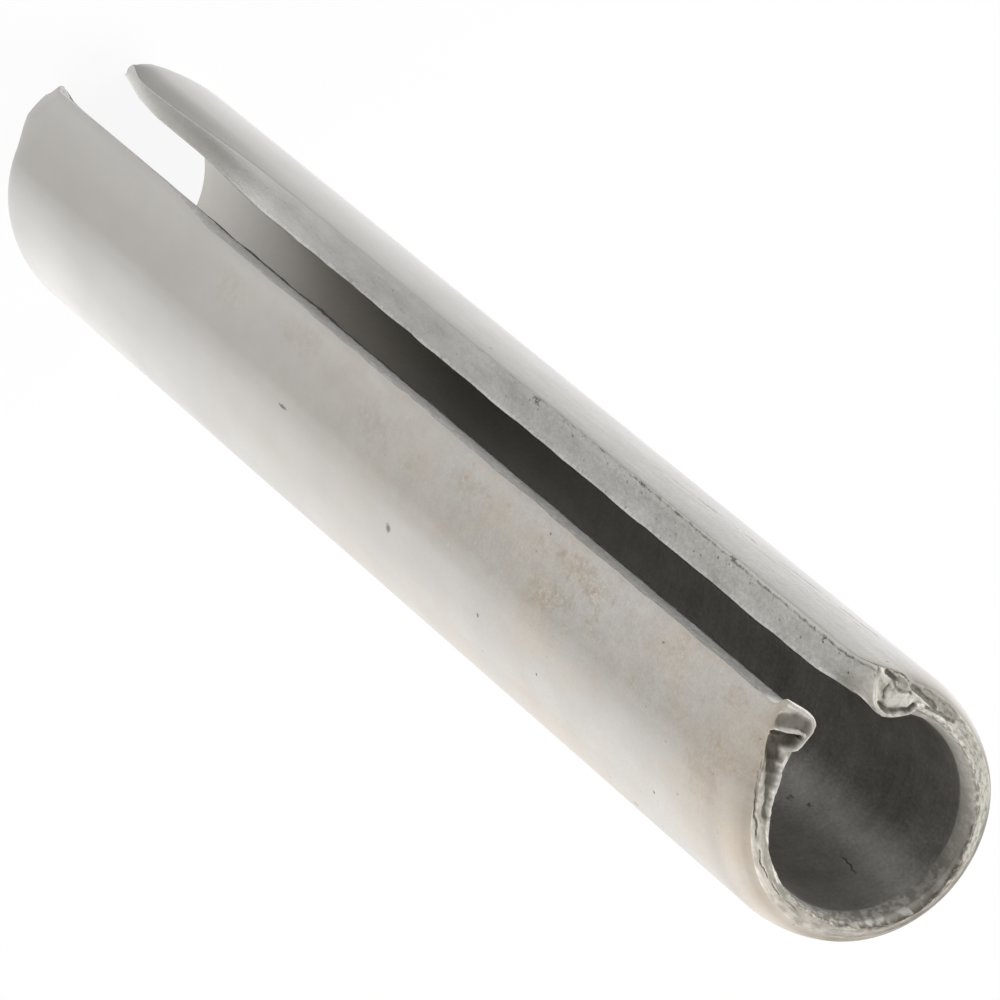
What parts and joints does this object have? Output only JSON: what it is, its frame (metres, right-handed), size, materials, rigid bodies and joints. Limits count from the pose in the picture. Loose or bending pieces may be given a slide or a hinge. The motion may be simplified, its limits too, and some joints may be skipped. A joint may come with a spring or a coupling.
{
  "type": "slotted spring pin",
  "caption": "Spring roll pin: a strip of spring steel rolled into a C, slotted along its length, with tapered ends.",
  "frame": {"origin": "on the axis of the roll, halfway along the pin", "axes": "+Z along the pin towards the end with the upset lips, -Y through the middle of the slot, +X across the pin. It stands on its plain end."},
  "size_m": [0.0046, 0.0047, 0.032],
  "materials": {
    "spring_steel": "tumbled, satin, plain spring steel"
  },
  "bodies": {
    "root": {"spring_pin": "spring_steel"}
  },
  "joints": []
}
